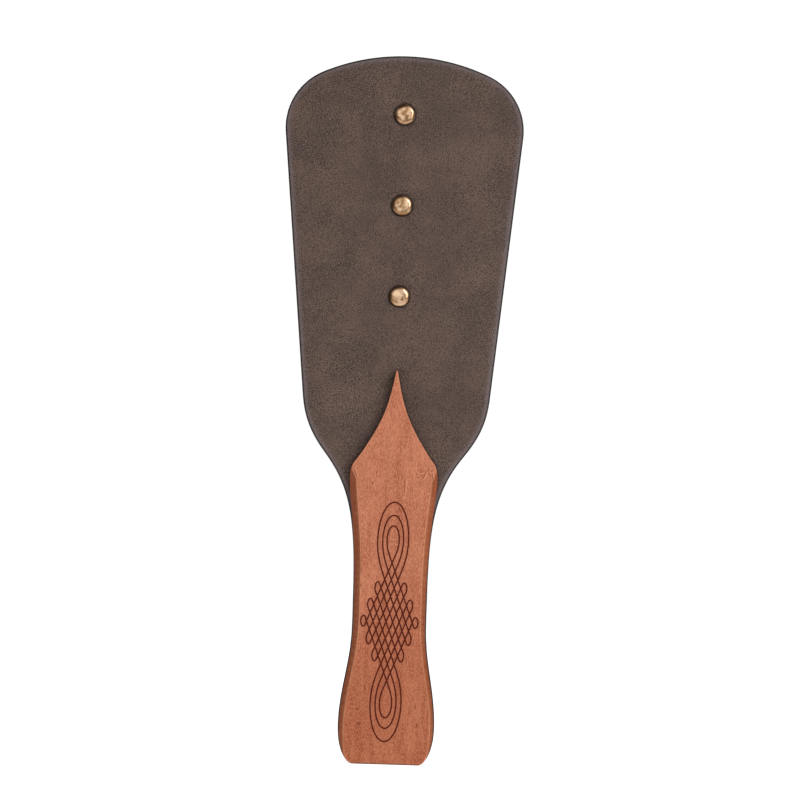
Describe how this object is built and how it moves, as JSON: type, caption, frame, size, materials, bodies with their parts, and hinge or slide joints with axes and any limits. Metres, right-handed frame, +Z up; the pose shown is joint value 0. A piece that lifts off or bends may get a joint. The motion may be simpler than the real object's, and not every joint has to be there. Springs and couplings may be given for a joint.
{
  "type": "leather strop",
  "caption": "Two-sided paddle strop: a stiff board faced with leather and riveted along its centre, on a bevelled wooden handle that ends in an ogee point.",
  "frame": {"origin": "centre of the flat butt end of the handle, midway between the two faces", "axes": "+Z up the length from butt to crown, +X across the width, -Y out of the engraved front face, +Y out of the plain back face"},
  "size_m": [0.118, 0.022, 0.35],
  "materials": {
    "board": "thin board with black-stained edges",
    "leather": "dark brown pebbled grain, satin",
    "suede": "dark brown flesh side, matt",
    "scale_wood": "oiled red-brown fine-grained hardwood, satin",
    "cap_brass": "antique brass, lightly dented",
    "rivet_brass": "plain brass",
    "dowel_wood": "plain beech dowel"
  },
  "bodies": {
    "root": {"core_board": "board", "front_leather": "leather", "back_leather": "suede", "front_scale": "scale_wood", "back_scale": "scale_wood", "rivet_1_front_cap": "cap_brass", "rivet_1_post": "rivet_brass", "rivet_1_socket": "rivet_brass", "rivet_1_back_cap": "cap_brass", "rivet_2_front_cap": "cap_brass", "rivet_2_post": "rivet_brass", "rivet_2_socket": "rivet_brass", "rivet_2_back_cap": "cap_brass", "rivet_3_front_cap": "cap_brass", "rivet_3_post": "rivet_brass", "rivet_3_socket": "rivet_brass", "rivet_3_back_cap": "cap_brass", "dowel_1": "dowel_wood", "dowel_2": "dowel_wood", "dowel_3": "dowel_wood"}
  },
  "joints": []
}
